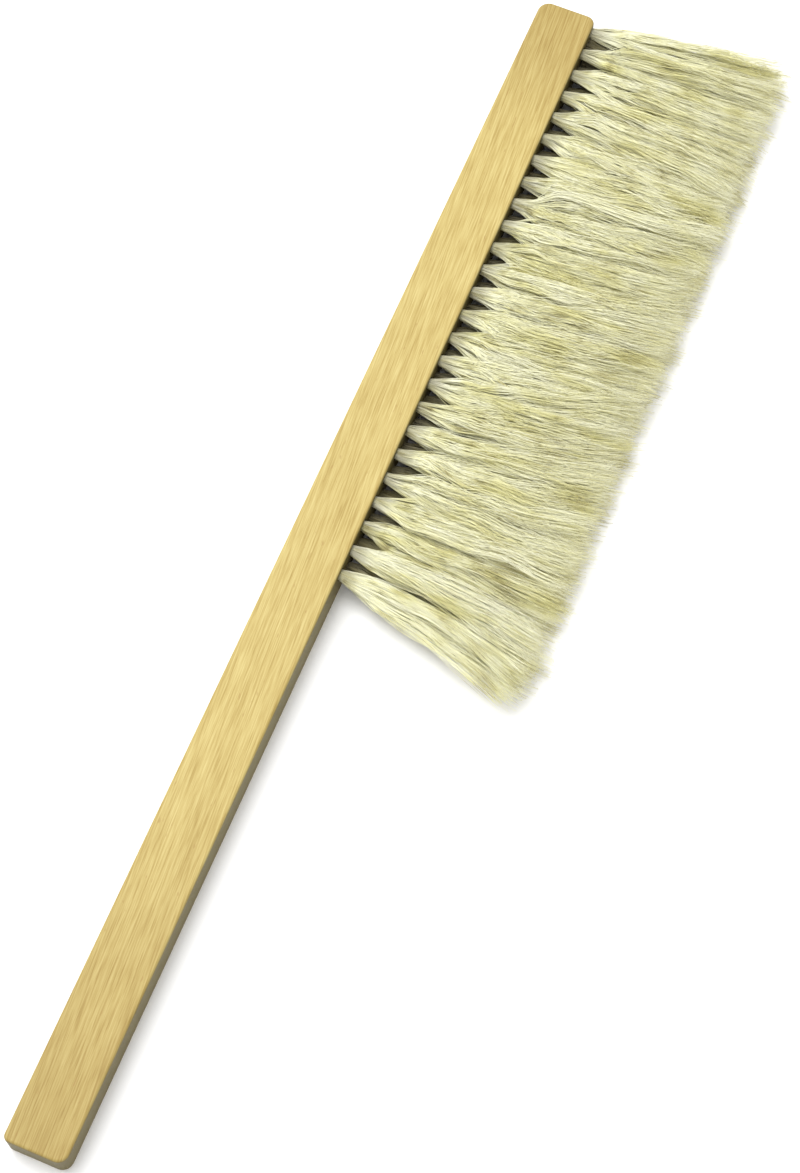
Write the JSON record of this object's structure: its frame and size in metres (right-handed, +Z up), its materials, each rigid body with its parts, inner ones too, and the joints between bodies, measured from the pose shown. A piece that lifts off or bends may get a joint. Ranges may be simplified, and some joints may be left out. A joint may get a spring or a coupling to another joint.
{
  "type": "bee brush",
  "caption": "Long flat wooden handle with staggered tufts of soft pale horsehair set in one narrow edge, for sweeping bees gently off honeycomb.",
  "frame": {"origin": "centre of the handle's lower broad face, the face it lies on", "axes": "+X along the handle towards the bristled head end, hair points to -Y, +Z up through the handle's thickness"},
  "size_m": [0.4272, 0.0867, 0.013],
  "materials": {
    "beech": "plain sanded beech, unvarnished, with a fine streaky grain",
    "horsehair": "loose natural hair, pale cream, soft sheen",
    "anchor_wire": "plain drawn flat wire"
  },
  "bodies": {
    "root": {"handle": "beech", "tuft_upper_01": "horsehair", "tuft_upper_02": "horsehair", "tuft_upper_03": "horsehair", "tuft_upper_04": "horsehair", "tuft_upper_05": "horsehair", "tuft_upper_06": "horsehair", "tuft_upper_07": "horsehair", "tuft_upper_08": "horsehair", "tuft_upper_09": "horsehair", "tuft_upper_10": "horsehair", "tuft_upper_11": "horsehair", "tuft_upper_12": "horsehair", "tuft_upper_13": "horsehair", "tuft_upper_14": "horsehair", "tuft_upper_15": "horsehair", "tuft_upper_16": "horsehair", "tuft_upper_17": "horsehair", "tuft_upper_18": "horsehair", "tuft_upper_19": "horsehair", "tuft_upper_20": "horsehair", "tuft_upper_21": "horsehair", "tuft_upper_22": "horsehair", "tuft_upper_23": "horsehair", "tuft_upper_24": "horsehair", "tuft_upper_25": "horsehair", "tuft_lower_01": "horsehair", "tuft_lower_02": "horsehair", "tuft_lower_03": "horsehair", "tuft_lower_04": "horsehair", "tuft_lower_05": "horsehair", "tuft_lower_06": "horsehair", "tuft_lower_07": "horsehair", "tuft_lower_08": "horsehair", "tuft_lower_09": "horsehair", "tuft_lower_10": "horsehair", "tuft_lower_11": "horsehair", "tuft_lower_12": "horsehair", "tuft_lower_13": "horsehair", "tuft_lower_14": "horsehair", "tuft_lower_15": "horsehair", "tuft_lower_16": "horsehair", "tuft_lower_17": "horsehair", "tuft_lower_18": "horsehair", "tuft_lower_19": "horsehair", "tuft_lower_20": "horsehair", "tuft_lower_21": "horsehair", "tuft_lower_22": "horsehair", "tuft_lower_23": "horsehair", "tuft_lower_24": "horsehair", "anchors_upper_row": "anchor_wire", "anchors_lower_row": "anchor_wire"}
  },
  "joints": []
}
